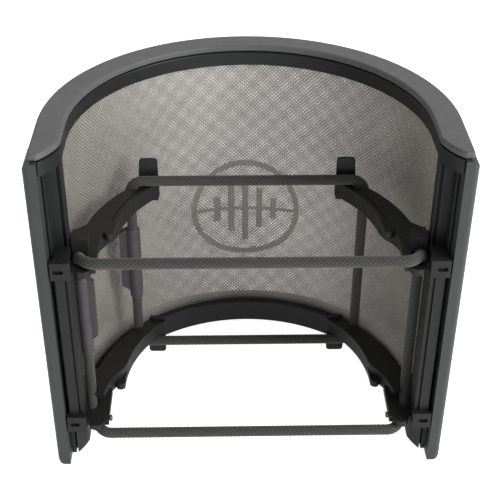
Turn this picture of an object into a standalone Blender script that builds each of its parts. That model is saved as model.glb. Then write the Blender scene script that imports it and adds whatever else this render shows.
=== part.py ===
"""Pop filter: a U-shaped shell walled with two layers of woven mesh, and a cradle that slides in the
shell's front posts and carries two elastic cord loops. A microphone stands between the loops.

Lengths are in millimetres and become metres in new_object. +Z is up and the open front faces -Y. Plan
coordinates are measured from the centre of the shell's half circle; the assembly empty moves them so
that the origin is at the bottom centre of the whole object."""

import math

import bmesh
import bpy
from mathutils import Matrix, Vector

MM = 0.001
GAP = 0.3  # clearance between neighbouring pieces
ARC_STEPS = 40  # facets of a half circle
ROUND_SIDES = 16

# Shell
CAP_RADIUS = 60.0
FRAME_RADIUS = 59.7
WALL_RADIUS = 52.2  # inner face of the rings
CAP_INNER_RADIUS = 52.0
HEIGHT = 113.0
CAP_THICKNESS = 2.2
TOP_RING_LOW = 105.9
BOTTOM_RING_HIGH = 10.2
WEB_LOW, WEB_HIGH = 2.0, 4.0
TAB_HIGH = 14.2  # top of the bottom frame's front end blocks
CLAMP_RING_RADIUS = 54.7
OUTER_WALL_RADIUS = 57.0
INNER_MESH_RADIUS, OUTER_MESH_RADIUS, MESH_THICKNESS = 55.0, 56.2, 0.4

# Front ends of the shell: the plan curve that every ring follows, as a cubic Bezier
FRONT_CURVE = ((57.8, -19.8), (56.2, -19.8), (52.0, -13.2), (52.0, -10.5))
FRONT_STEPS = 8
BLOCK_OUTER_X = 57.3
BLOCK_BACK_Y = -8.5
FRAME_STEP_Y = -8.4
NECK_CUT = 1.0  # chamfer that keeps the top frame thick between its wall and its blocks
RING_FRONT_Y = BLOCK_BACK_Y + GAP
MESH_FRONT_Y = RING_FRONT_Y + 0.8

# Side trims
TRIM_INNER_X, TRIM_OUTER_X = 57.6, 61.6
TRIM_FRONT_Y, TRIM_BACK_Y = -20.9, -8.7
TRIM_CORNER = 1.8

# Posts and the slide channel in them
CHANNEL_BACK_Y = -12.3
CHANNEL_OUTER_X = 56.5
CHANNEL_LIP_Y = -16.0
KEYWAY = ((53.7, -12.3), (54.1, -10.8), (52.9, -10.8), (52.9, -12.3))
POST_SCREW_X, POST_SCREW_Y = 55.7, -10.2
POST_SCREW_BORE = 1.1

# Elastic loops. The rear one lies in an upright plane. The front one's runs turn back and dive through
# the arms, so its uprights stand behind the posts.
CORD_RADIUS = 1.7
LOOP_CORNER = 4.2
LOOP_LOW, LOOP_HIGH = 12.3, 77.5
LOOP_MIDDLE = (LOOP_LOW + LOOP_HIGH) / 2
FRONT_LOOP_Y, FRONT_RUN_X = -19.6, 40.0
FRONT_TURN_X, FRONT_TURN_REACH = 43.8, 6.5  # where a run starts to turn back, and how sharply
UPRIGHT_X, UPRIGHT_Y = 51.0, -5.8
UPRIGHT_LOW, UPRIGHT_REACH = 11.5, 9.0  # how far below the run the upright is straight, and the bend's reach
REAR_LOOP_Y, REAR_LOOP_X, REAR_RUN_X = 26.8, 37.7, 27.5

# Cradle
ARM_LOW, ARM_HIGH = 70.3, 75.6
ARM_INNER_RADIUS = 40.6
ARM_ROOT_RADIUS, ARM_TIP_RADIUS = 49.4, 46.0
ARM_ROOT_DEG, ARM_TIP_DEG = 5.0, 32.0
BAR_INNER_X, BAR_OUTER_X = 51.9, 56.2
BAR_FRONT_Y = -19.6
SPINE_LOW, SPINE_HIGH = TAB_HIGH + GAP, 78.7
EAR_INNER_X, EAR_OUTER_X, EAR_FRONT_Y = 51.2, 57.2, -21.3
EAR_HEIGHT = 5.9
BLOCK_INNER_X, BLOCK_FRONT_Y = 44.6, -18.2
BLOCK_LOW = 73.1
BOSS_X, BOSS_Y, BOSS_RADIUS = 48.2, -18.4, 2.4
HOUSING_INNER_X, HOUSING_FRONT_Y, HOUSING_BACK_Y, HOUSING_HIGH = 46.9, -12.4, -6.6, 81.0
RIB_HIGH, NUB_X, NUB_Y, NUB_RADIUS = 2.4, 42.1, 0.1, 1.5
ARM_SCREW_Y, ARM_SCREW_Z = -16.2, 74.2
ARM_SCREW_BORE = 0.7
SLEEVE_RADIUS, SLEEVE_BORE = 2.2, CORD_RADIUS + 0.25
LOBE_REACH, LOBE_THICKNESS = 1.2, 2.4
FRONT_SLEEVE = (63.6, 39.6, 34.2)  # top, lower end of the wide part, lower end of the collar
REAR_SLEEVE = (60.0, 35.0, 32.4)

# Badge on the outer mesh
BADGE_Z, BADGE_RADIUS, BADGE_LINE = 48.5, 19.4, 1.9
BADGE_LOW_RADIUS, BADGE_HIGH_RADIUS = 56.9, 57.6
BADGE_BARS = ((-10.0, 5.0), (-5.0, 9.5), (0.0, 13.5), (5.0, 8.0), (10.0, 4.0))  # place, half height

FRONT_MOST = EAR_FRONT_Y
ARC_CENTRE_Y = -(CAP_RADIUS + FRONT_MOST) / 2


def clear_scene():
    for old in list(bpy.data.objects):
        bpy.data.objects.remove(old, do_unlink=True)


def make_material(name, colour, roughness, metallic=0.0):
    made = bpy.data.materials.new(name)
    made.use_nodes = True
    shader = made.node_tree.nodes["Principled BSDF"]
    shader.inputs["Base Color"].default_value = (*colour, 1.0)
    shader.inputs["Roughness"].default_value = roughness
    shader.inputs["Metallic"].default_value = metallic
    return made


def make_empty(name, place, parent=None):
    """An empty at a place given in plan coordinates; its children keep plan coordinates too."""
    empty = bpy.data.objects.new(name, None)
    bpy.context.scene.collection.objects.link(empty)
    empty["place"] = place
    above = Vector(parent["place"]) if parent else Vector((0.0, 0.0, 0.0))
    empty.location = (Vector(place) - above) * MM
    empty.parent = parent
    return empty


def new_object(name, solid, parent, look=None):
    """A named object from a bmesh in plan coordinates. Without a look it is a hidden cutter or tool."""
    mesh = bpy.data.meshes.new(name)
    bmesh.ops.recalc_face_normals(solid, faces=solid.faces)
    solid.to_mesh(mesh)
    solid.free()
    mesh.transform(Matrix.Scale(MM, 4))
    piece = bpy.data.objects.new(name, mesh)
    bpy.context.scene.collection.objects.link(piece)
    settle(piece, parent)
    if look:
        mesh.materials.append(look)
        mesh.shade_smooth()
        mesh.set_sharp_from_angle(angle=math.radians(30))
    else:
        piece.hide_render = True
        piece.display_type = "WIRE"
    return piece


def settle(piece, parent):
    """Parents a piece so that its own coordinates stay plan coordinates."""
    piece.parent = parent
    if parent is not ASSEMBLY:
        piece.location = -Vector(parent["place"]) * MM


def combine(piece, solid, operation):
    """Joins a solid to the piece, or cuts it away."""
    index = len(piece.modifiers)
    tool = new_object(f"{piece.name}_{operation.lower()}_{index}", solid, piece.parent)
    modifier = piece.modifiers.new(f"{operation}_{index}", "BOOLEAN")
    modifier.operation = operation
    modifier.solver = "EXACT"
    modifier.object = tool


def extrude(outline, rise):
    """A closed prism: a flat 3D outline and its copy moved by rise."""
    solid = bmesh.new()
    near = [solid.verts.new(point) for point in outline]
    far = [solid.verts.new(Vector(point) + Vector(rise)) for point in outline]
    solid.faces.new(near)
    solid.faces.new(far)
    for i in range(len(near)):
        j = (i + 1) % len(near)
        solid.faces.new((near[i], near[j], far[j], far[i]))
    return solid


def prism(outline, low, high):
    return extrude([(x, y, low) for x, y in outline], (0, 0, high - low))


def slab(outline, front, back):
    """A prism along Y from an outline in X and Z."""
    return extrude([(x, front, z) for x, z in outline], (0, back - front, 0))


def box_outline(x_low, x_high, y_low, y_high):
    return [(x_low, y_low), (x_high, y_low), (x_high, y_high), (x_low, y_high)]


def arc(radius, start, end, steps, centre=(0.0, 0.0)):
    """Points of an arc, with both ends, between two angles in degrees."""
    points = []
    for i in range(steps + 1):
        turn = math.radians(start + (end - start) * i / steps)
        points.append((centre[0] + radius * math.cos(turn), centre[1] + radius * math.sin(turn)))
    return points


def circle(radius, centre, sides=ROUND_SIDES):
    return arc(radius, 0, 360 - 360 / sides, sides - 1, centre)


def front_edge_y(x):
    """The front curve's Y at a distance x from the middle."""
    low, high = 0.0, 1.0
    for _ in range(40):
        t = (low + high) / 2
        if bezier(t, FRONT_CURVE)[0] > x:
            low = t
        else:
            high = t
    return bezier(low, FRONT_CURVE)[1]


def front_curve(outer, inner):
    """The front curve from an outer to an inner distance."""
    points = []
    for i in range(FRONT_STEPS + 1):
        x = outer + (inner - outer) * i / FRONT_STEPS
        points.append((x, front_edge_y(x)))
    return points


def u_outline(inner, outer, end):
    """A U in plan. end is its right-hand front end, from the outer side to the inner side."""
    left_end = [(-x, y) for x, y in end]
    return arc(outer, 0, 180, ARC_STEPS) + left_end + arc(inner, 180, 0, ARC_STEPS) + end[::-1]


def mirrored(outline, side):
    return [(side * x, y) for x, y in outline]


def make_cap(look):
    end = [(CAP_RADIUS, FRONT_CURVE[0][1])] + front_curve(FRONT_CURVE[0][0], CAP_INNER_RADIUS + 0.01)
    outline = u_outline(CAP_INNER_RADIUS, CAP_RADIUS, end)
    new_object("top_cap", prism(outline, HEIGHT - CAP_THICKNESS, HEIGHT), ASSEMBLY, look)


def block_end():
    """The front end of a frame: a step back for the trim, then the block that the post stands on."""
    step = [(FRAME_RADIUS, FRAME_STEP_Y), (BLOCK_OUTER_X, FRAME_STEP_Y)]
    back = [(WALL_RADIUS, BLOCK_BACK_Y), (OUTER_WALL_RADIUS - NECK_CUT, BLOCK_BACK_Y)]
    back += [(OUTER_WALL_RADIUS, BLOCK_BACK_Y + NECK_CUT)]
    return step + front_curve(BLOCK_OUTER_X, WALL_RADIUS) + back


def make_top_frame(look):
    high = HEIGHT - CAP_THICKNESS - GAP
    outline = u_outline(OUTER_WALL_RADIUS, FRAME_RADIUS, block_end())
    frame = new_object("top_frame", prism(outline, TOP_RING_LOW, high), ASSEMBLY, look)
    for side in (-1, 1):
        centre = (side * POST_SCREW_X, POST_SCREW_Y)
        combine(frame, prism(circle(POST_SCREW_BORE, centre), TOP_RING_LOW - 1, high + 1), "DIFFERENCE")
        combine(frame, prism(circle(1.7, centre), high - 2.0, high + 1), "DIFFERENCE")


def make_bottom_frame(look):
    wall_end = [(FRAME_RADIUS, FRAME_STEP_Y), (OUTER_WALL_RADIUS, FRAME_STEP_Y)]
    wall = u_outline(OUTER_WALL_RADIUS, FRAME_RADIUS, wall_end)
    frame = new_object("bottom_frame", prism(wall, 0, BOTTOM_RING_HIGH), ASSEMBLY, look)
    web_end = [(BLOCK_OUTER_X, BLOCK_BACK_Y - 1), (WALL_RADIUS, BLOCK_BACK_Y - 1)]
    web = u_outline(WALL_RADIUS, BLOCK_OUTER_X, web_end)
    combine(frame, prism(web, WEB_LOW, WEB_HIGH), "UNION")
    for side in (-1, 1):
        block = front_curve(BLOCK_OUTER_X, WALL_RADIUS)
        block += [(WALL_RADIUS, BLOCK_BACK_Y), (BLOCK_OUTER_X, BLOCK_BACK_Y)]
        combine(frame, prism(mirrored(block, side), WEB_LOW, TAB_HIGH), "UNION")
        centre = (side * POST_SCREW_X, POST_SCREW_Y)
        combine(frame, prism(circle(POST_SCREW_BORE, centre), WEB_LOW - 1, TAB_HIGH + 1), "DIFFERENCE")
        combine(frame, prism(circle(1.7, centre), WEB_LOW - 1, WEB_LOW + 2.0), "DIFFERENCE")


def make_u_piece(name, inner, outer, front, low, high, look):
    """A plain U that ends behind the posts."""
    outline = u_outline(inner, outer, [(outer, front), (inner, front)])
    new_object(name, prism(outline, low, high), ASSEMBLY, look)


def make_badge(look):
    """A ring with five level bars on a line, bent to the mesh's cylinder."""

    def bent(u, v, radius):
        turn = u / BADGE_LOW_RADIUS
        return (radius * math.sin(turn), radius * math.cos(turn), BADGE_Z + v)

    def strip(edges, closed):
        """A solid from pairs of (u, v) points, one pair for each place along it."""
        solid = bmesh.new()
        rows = []
        for a, b in edges:
            corners = (bent(*a, BADGE_LOW_RADIUS), bent(*b, BADGE_LOW_RADIUS),
                       bent(*b, BADGE_HIGH_RADIUS), bent(*a, BADGE_HIGH_RADIUS))
            rows.append([solid.verts.new(corner) for corner in corners])
        for i in range(len(rows) if closed else len(rows) - 1):
            here, there = rows[i], rows[(i + 1) % len(rows)]
            for k in range(4):
                m = (k + 1) % 4
                solid.faces.new((here[k], here[m], there[m], there[k]))
        if not closed:
            solid.faces.new(rows[0])
            solid.faces.new(rows[-1])
        return solid

    steps = 48
    inner, outer = circle(BADGE_RADIUS - BADGE_LINE, (0, 0), steps), circle(BADGE_RADIUS, (0, 0), steps)
    badge = new_object("badge", strip(list(zip(inner, outer)), True), ASSEMBLY, look)
    reach, cuts = BADGE_RADIUS - BADGE_LINE / 2, 16
    across = [reach * (2 * i / cuts - 1) for i in range(cuts + 1)]
    combine(badge, strip([((u, -0.5), (u, 0.5)) for u in across], False), "UNION")
    for middle, half in BADGE_BARS:
        bar = [((middle + u, -half), (middle + u, half)) for u in (-1.1, 1.1)]
        combine(badge, strip(bar, False), "UNION")


def make_trim(name, side, look):
    """An upright strip with rounded outer corners and a chamfered top and bottom."""
    r = TRIM_CORNER
    outline = [(TRIM_INNER_X, TRIM_FRONT_Y), (TRIM_OUTER_X - r, TRIM_FRONT_Y)]
    outline += arc(r, -90, 0, 4, (TRIM_OUTER_X - r, TRIM_FRONT_Y + r))[1:]
    outline += arc(r, 0, 90, 4, (TRIM_OUTER_X - r, TRIM_BACK_Y - r))
    outline += [(TRIM_INNER_X, TRIM_BACK_Y)]
    high = HEIGHT - CAP_THICKNESS - GAP
    trim = new_object(name, prism(mirrored(outline, side), 0, high), ASSEMBLY, look)
    for level, lean in ((0.0, 1), (high, -1)):
        corner = [(TRIM_OUTER_X - 2.0, level - lean), (TRIM_OUTER_X + 1, level - lean)]
        corner += [(TRIM_OUTER_X + 1, level + 3.5 * lean), (TRIM_OUTER_X + 0.2, level + 3.0 * lean)]
        combine(trim, slab(mirrored(corner, side), TRIM_FRONT_Y - 1, TRIM_BACK_Y + 1), "DIFFERENCE")


def make_post(name, side, look):
    """A column with the slide channel's back and outer walls, and the keyway in the back wall."""
    outline = [(WALL_RADIUS + 0.1, BLOCK_BACK_Y), (BLOCK_OUTER_X, BLOCK_BACK_Y)]
    outline += [(BLOCK_OUTER_X, CHANNEL_LIP_Y), (CHANNEL_OUTER_X, CHANNEL_LIP_Y)]
    outline += [(CHANNEL_OUTER_X, CHANNEL_BACK_Y), *KEYWAY, (WALL_RADIUS + 0.1, CHANNEL_BACK_Y)]
    low, high = TAB_HIGH + GAP, TOP_RING_LOW - GAP
    post = new_object(name, prism(mirrored(outline, side), low, high), ASSEMBLY, look)
    centre = (side * POST_SCREW_X, POST_SCREW_Y)
    combine(post, prism(circle(POST_SCREW_BORE, centre), low - 1, low + 10), "DIFFERENCE")
    combine(post, prism(circle(POST_SCREW_BORE, centre), high - 10, high + 1), "DIFFERENCE")


def make_screw(name, head, tip, shank, shank_length, parent, look):
    """A pan-head screw from the head's centre along an axis direction to its tip."""
    direction = (Vector(tip) - Vector(head)).normalized()
    turn = direction.to_track_quat("Z", "Y").to_matrix().to_4x4()
    wide, thick = 1.8 * shank, 1.4 * shank
    rows = ((wide, 0.0), (wide, thick), (shank, thick), (shank, shank_length))
    rows += ((0.55 * shank, shank_length + 0.8),)
    solid = bmesh.new()
    rings = []
    for radius, along in rows:
        ring = [solid.verts.new((x, y, along)) for x, y in circle(radius, (0, 0), 12)]
        rings.append(ring)
    solid.faces.new(rings[0])
    solid.faces.new(rings[-1])
    for a, b in zip(rings, rings[1:]):
        for i in range(len(a)):
            j = (i + 1) % len(a)
            solid.faces.new((a[i], a[j], b[j], b[i]))
    solid.transform(Matrix.Translation(Vector(head)) @ turn)
    new_object(name, solid, parent, look)


def make_post_screws(look):
    for side, word in ((-1, "left"), (1, "right")):
        x = side * POST_SCREW_X
        high = HEIGHT - CAP_THICKNESS - 2 * GAP
        down, up = (x, POST_SCREW_Y, 90), (x, POST_SCREW_Y, 30)
        make_screw(f"{word}_top_screw", (x, POST_SCREW_Y, high), down, 0.9, 11.0, ASSEMBLY, look)
        low = WEB_LOW + 0.3
        make_screw(f"{word}_bottom_screw", (x, POST_SCREW_Y, low), up, 0.9, 19.0, ASSEMBLY, look)


def level(z, upper):
    """A height on the upper arm, or its mirror image on the lower arm."""
    return z if upper else 2 * LOOP_MIDDLE - z


def rear_side(side):
    """One side of the rear loop: from its upper run's end round both corners to its lower run's end."""
    x = REAR_LOOP_X - LOOP_CORNER
    high = arc(LOOP_CORNER, 90, 0, 8, (x, LOOP_HIGH - LOOP_CORNER))
    low = arc(LOOP_CORNER, 0, -90, 8, (x, LOOP_LOW + LOOP_CORNER))
    start, end = (REAR_RUN_X + GAP, LOOP_HIGH), (REAR_RUN_X + GAP, LOOP_LOW)
    return [(side * px, REAR_LOOP_Y, pz) for px, pz in [start, *high, *low, end]]


def bezier(t, points):
    """A point of a cubic Bezier curve."""
    weights = ((1 - t) ** 3, 3 * t * (1 - t) ** 2, 3 * t * t * (1 - t), t**3)
    return tuple(sum(w * point[axis] for w, point in zip(weights, points)) for axis in range(len(points[0])))


def front_side(side):
    """One side of the front loop: back and down through the arm, down behind the post and forward again."""
    start = (FRONT_TURN_X, FRONT_LOOP_Y, LOOP_HIGH)
    end = (UPRIGHT_X, UPRIGHT_Y, LOOP_HIGH - UPRIGHT_LOW)
    leave = (start[0] + FRONT_TURN_REACH, start[1], start[2])
    arrive = (end[0], end[1], end[2] + UPRIGHT_REACH)
    steps = 12
    half = [(FRONT_RUN_X + GAP, FRONT_LOOP_Y, LOOP_HIGH)]
    half += [bezier(i / steps, (start, leave, arrive, end)) for i in range(steps + 1)]
    other = [(x, y, 2 * LOOP_MIDDLE - z) for x, y, z in reversed(half)]
    return [(side * x, y, z) for x, y, z in half + other]


def tube(points, radius, sides):
    """A closed round tube along points."""
    solid = bmesh.new()
    rings = []
    across = Vector((0, 1, 0.001))
    for i, point in enumerate(points):
        before, after = points[max(i - 1, 0)], points[min(i + 1, len(points) - 1)]
        along = (Vector(after) - Vector(before)).normalized()
        normal = along.cross(across).normalized()
        across = normal.cross(along)
        ring = []
        for k in range(sides):
            turn = 2 * math.pi * k / sides
            offset = math.cos(turn) * normal + math.sin(turn) * across
            ring.append(solid.verts.new(Vector(point) + radius * offset))
        rings.append(ring)
    solid.faces.new(rings[0])
    solid.faces.new(rings[-1])
    for a, b in zip(rings, rings[1:]):
        for k in range(sides):
            m = (k + 1) % sides
            solid.faces.new((a[k], a[m], b[m], b[k]))
    return solid


def cord_object(name, points, parent, look):
    """A cord as a poly curve with a round bevel and filled caps."""
    data = bpy.data.curves.new(name, "CURVE")
    data.dimensions = "3D"
    data.bevel_depth = CORD_RADIUS * MM
    data.bevel_resolution = 2
    data.use_fill_caps = True
    spline = data.splines.new("POLY")
    spline.points.add(len(points) - 1)
    for slot, point in zip(spline.points, points):
        slot.co = (*(Vector(point) * MM), 1.0)
    data.materials.append(look)
    cord = bpy.data.objects.new(name, data)
    bpy.context.scene.collection.objects.link(cord)
    settle(cord, parent)


def make_loops(cradle, runs, look):
    """Each loop is two sides on the cradle and two straight runs that stretch away from the middle."""
    for word, y, half, route in (("front", FRONT_LOOP_Y, FRONT_RUN_X, front_side),
                                 ("rear", REAR_LOOP_Y, REAR_RUN_X, rear_side)):
        for side, hand in ((-1, "left"), (1, "right")):
            cord_object(f"{word}_cord_{hand}_side", route(side), cradle, look)
        for place, z in (("upper", LOOP_HIGH), ("lower", LOOP_LOW)):
            points = [(-half, y, z), (0, y, z), (half, y, z)]
            cord_object(f"{word}_cord_{place}_run", points, runs[f"{word}_{place}"], look)


def make_sleeve(name, x, y, way, marks, parent, look):
    """A joint sleeve on a loop's left upright: a wide part with a lobe on one side, and a collar below."""
    high, low, end = marks
    body = new_object(name, prism(circle(SLEEVE_RADIUS + 0.3, (x, y)), low, high), parent, look)
    combine(body, prism(circle(SLEEVE_RADIUS + 0.1, (x, y)), end, low + 1), "UNION")
    near, far = x + way * SLEEVE_RADIUS, x + way * (SLEEVE_RADIUS + LOBE_REACH)
    lobe = [(x, low + 2.0), (near, low + 0.6), (far, low + 3.0)]
    lobe += [(far, high - 2.5), (near, high - 0.5), (x, high - 0.5)]
    half = LOBE_THICKNESS / 2
    combine(body, slab(lobe, y - half, y + half), "UNION")
    combine(body, prism(circle(SLEEVE_BORE, (x, y)), end - 1, high + 1), "DIFFERENCE")


def arm_outline():
    """The right-hand arm in plan: its root behind the post, then a crescent that narrows to the rear."""
    steps = 10
    behind = BLOCK_BACK_Y + GAP
    root = [(46.8, -9.0), (52.0, -9.0), (52.0, behind), (54.3, behind), (54.3, -1.2), (52.6, 1.4)]
    outer = []
    for i in range(steps + 1):
        turn = math.radians(ARM_ROOT_DEG + (ARM_TIP_DEG - ARM_ROOT_DEG) * i / steps)
        radius = ARM_ROOT_RADIUS + (ARM_TIP_RADIUS - ARM_ROOT_RADIUS) * i / steps
        outer.append((radius * math.cos(turn), radius * math.sin(turn)))
    end = [(34.3, 28.4), (34.3, 30.4), (33.5, 31.2), (29.3, 31.2), (28.5, 30.4)]
    inner = arc(ARM_INNER_RADIUS, 45.4, 9.0, steps)
    nose = [(41.2, 3.2), (42.9, 1.2), (44.6, -1.6), (45.7, -4.6)]
    return root + outer + end + inner + nose


def make_arm(name, side, upper, cradle, look):
    """An arm with a block beside the spine and a housing round the cord. The lower arm mirrors the upper."""

    def between(a, b):
        return sorted((level(a, upper), level(b, upper)))

    def add(outline, low, high):
        combine(arm, prism(mirrored(outline, side), *between(low, high)), "UNION")

    arm = new_object(name, prism(mirrored(arm_outline(), side), *between(ARM_LOW, ARM_HIGH)), cradle, look)
    near, beside = BLOCK_INNER_X, BAR_INNER_X - GAP
    add(box_outline(near, beside, BLOCK_FRONT_Y, -3.2), BLOCK_LOW, ARM_HIGH - 0.2)
    add(circle(BOSS_RADIUS, (BOSS_X, BOSS_Y)), BLOCK_LOW + 0.1, ARM_HIGH - 0.3)
    housing = box_outline(HOUSING_INNER_X, beside - 0.1, HOUSING_FRONT_Y, HOUSING_BACK_Y)
    add(housing, ARM_HIGH - 0.8, HOUSING_HIGH)
    add(circle(NUB_RADIUS, (NUB_X, NUB_Y), 12), ARM_HIGH - RIB_HIGH, ARM_HIGH - 0.1)
    rib = arc(ARM_INNER_RADIUS, 12, 1, 3) + arc(ARM_INNER_RADIUS + 2.4, 1, 12, 3)
    add(rib, ARM_HIGH - RIB_HIGH + 0.1, ARM_HIGH - 0.15)
    # The clearance round both cords, the slot for the rear clip and the screw's hole
    for route in (rear_side(side), front_side(side)):
        combine(arm, tube(route, CORD_RADIUS + GAP + 0.1, 12), "DIFFERENCE")
    slot = mirrored(box_outline(29.5, 33.3, 28.7, 30.4), side)
    combine(arm, prism(slot, *between(ARM_LOW - 1, ARM_HIGH + 1)), "DIFFERENCE")
    bore = circle(ARM_SCREW_BORE, (0, 0), 12)
    hole = [(ARM_SCREW_Y + dy, level(ARM_SCREW_Z, upper) + dz) for dy, dz in bore]
    combine(arm, extrude([(side * 43, y, z) for y, z in hole], (side * 12, 0, 0)), "DIFFERENCE")


def make_spine(name, side, cradle, look):
    """The ribbed bar in the post's channel, with an ear at each end and a key in the keyway."""
    back = CHANNEL_BACK_Y - GAP
    inner, deep = KEYWAY[2][0] + GAP, KEYWAY[1][1] - GAP
    outline = [(BAR_INNER_X, -19.2), (52.9, -19.2), (52.9, -18.5), (53.4, -18.5), (53.4, BAR_FRONT_Y)]
    outline += [(BAR_OUTER_X, BAR_FRONT_Y), (BAR_OUTER_X, back)]
    outline += [(KEYWAY[0][0] - GAP, back), (KEYWAY[1][0] - GAP - 0.1, deep), (inner, deep), (inner, back)]
    outline += [(BAR_INNER_X, back)]
    spine = new_object(name, prism(mirrored(outline, side), SPINE_LOW, SPINE_HIGH), cradle, look)
    ear = mirrored(box_outline(EAR_INNER_X, EAR_OUTER_X, EAR_FRONT_Y, BAR_FRONT_Y + 0.6), side)
    for low in (SPINE_LOW, SPINE_HIGH - EAR_HEIGHT):
        combine(spine, prism(ear, low, low + EAR_HEIGHT), "UNION")
        middle = low + EAR_HEIGHT / 2
        slot = arc(0.7, 90, 270, 6, (54.0, middle)) + arc(0.7, -90, 90, 6, (55.6, middle))
        slot = [(side * x, z) for x, z in slot]
        combine(spine, slab(slot, EAR_FRONT_Y - 1, EAR_FRONT_Y + 0.9), "DIFFERENCE")
    for upper in (True, False):
        z = level(ARM_SCREW_Z, upper)
        bore = circle(ARM_SCREW_BORE, (0, 0), 12)
        hole = [(side * 50, ARM_SCREW_Y + dy, z + dz) for dy, dz in bore]
        combine(spine, extrude(hole, (side * 5.4, 0, 0)), "DIFFERENCE")


def make_clip(name, side, upper, cradle, look):
    """A rear clip: a foot under the arm, a stem through it and a tall head behind the cord."""
    head_top = LOOP_HIGH + 7.0
    outline = [(28.9, 68.8), (33.9, 68.8), (33.9, ARM_LOW - GAP), (33.0, ARM_LOW - GAP)]
    outline += [(33.0, ARM_HIGH + GAP), (34.1, ARM_HIGH + GAP)]
    outline += arc(0.9, 0, 90, 3, (33.2, head_top - 0.9)) + arc(0.9, 90, 180, 3, (29.5, head_top - 0.9))
    outline += [(28.6, ARM_HIGH + GAP), (29.8, ARM_HIGH + GAP), (29.8, ARM_LOW - GAP), (28.9, ARM_LOW - GAP)]
    outline = [(side * x, level(z, upper)) for x, z in outline]
    new_object(name, slab(outline, 29.0, 30.1), cradle, look)


def make_cradle(cradle, looks):
    for side, hand in ((-1, "left"), (1, "right")):
        make_spine(f"{hand}_spine", side, cradle, looks["cradle"])
        for upper, place in ((True, "upper"), (False, "lower")):
            make_arm(f"{hand}_{place}_arm", side, upper, cradle, looks["cradle"])
            make_clip(f"{hand}_{place}_clip", side, upper, cradle, looks["cradle"])
            z = level(ARM_SCREW_Z, upper)
            head, tip = (side * 43.6, ARM_SCREW_Y, z), (side * 56, ARM_SCREW_Y, z)
            make_screw(f"{hand}_{place}_arm_screw", head, tip, 0.55, 10.5, cradle, looks["steel"])
    make_sleeve("front_sleeve", -UPRIGHT_X, UPRIGHT_Y, 1, FRONT_SLEEVE, cradle, looks["sleeve"])
    make_sleeve("rear_sleeve", -REAR_LOOP_X, REAR_LOOP_Y, -1, REAR_SLEEVE, cradle, looks["sleeve"])


def make_shell(looks):
    make_cap(looks["cap"])
    make_top_frame(looks["shell"])
    make_bottom_frame(looks["shell"])
    ring_high = HEIGHT - CAP_THICKNESS - GAP
    ring_low = WEB_HIGH + GAP
    clamp = (WALL_RADIUS, CLAMP_RING_RADIUS, RING_FRONT_Y)
    make_u_piece("top_clamp_ring", *clamp, TOP_RING_LOW, ring_high, looks["shell"])
    make_u_piece("bottom_clamp_ring", *clamp, ring_low, BOTTOM_RING_HIGH, looks["shell"])
    for word, radius in (("inner", INNER_MESH_RADIUS), ("outer", OUTER_MESH_RADIUS)):
        sheet = (radius, radius + MESH_THICKNESS, MESH_FRONT_Y)
        make_u_piece(f"{word}_mesh", *sheet, ring_low, ring_high, looks["mesh"])
    make_badge(looks["badge"])
    for side, hand in ((-1, "left"), (1, "right")):
        make_trim(f"{hand}_trim", side, looks["trim"])
        make_post(f"{hand}_post", side, looks["shell"])
    make_post_screws(looks["steel"])


def make_looks():
    return {
        "cap": make_material("cap plastic", (0.17, 0.17, 0.17), 0.6),
        "trim": make_material("trim plastic", (0.07, 0.075, 0.075), 0.4),
        "shell": make_material("shell plastic", (0.03, 0.032, 0.032), 0.5),
        "cradle": make_material("cradle plastic", (0.025, 0.027, 0.027), 0.5),
        "mesh": make_material("woven steel", (0.36, 0.34, 0.31), 0.45, 0.8),
        "badge": make_material("badge steel", (0.12, 0.12, 0.12), 0.5, 0.6),
        "cord": make_material("cord textile", (0.05, 0.05, 0.05), 0.85),
        "sleeve": make_material("sleeve rubber", (0.06, 0.057, 0.06), 0.6),
        "steel": make_material("screw steel", (0.2, 0.2, 0.2), 0.35, 0.9),
    }


clear_scene()
ASSEMBLY = make_empty("assembly", (0.0, 0.0, 0.0))
ASSEMBLY.location = (0.0, ARC_CENTRE_Y * MM, 0.0)
LOOKS = make_looks()
CRADLE = make_empty("cradle_slide", (0.0, CHANNEL_BACK_Y, LOOP_MIDDLE), ASSEMBLY)
RUNS = {}
for loop, loop_y in (("front", FRONT_LOOP_Y), ("rear", REAR_LOOP_Y)):
    for run, run_z in (("upper", LOOP_HIGH), ("lower", LOOP_LOW)):
        RUNS[f"{loop}_{run}"] = make_empty(f"{loop}_{run}_stretch", (0.0, loop_y, run_z), CRADLE)
make_shell(LOOKS)
make_cradle(CRADLE, LOOKS)
make_loops(CRADLE, RUNS, LOOKS["cord"])
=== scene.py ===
"""Looks for the pop filter: wire cloth, braided elastic, moulded plastic and a soft white studio, built
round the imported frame. Lengths are in millimetres in plan coordinates, whose origin is the centre of the
shell's half circle at the height of the base; place() turns them into the frame's metres."""

import math

import bmesh
import bpy
import numpy as np
from mathutils import Matrix, Vector


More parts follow.
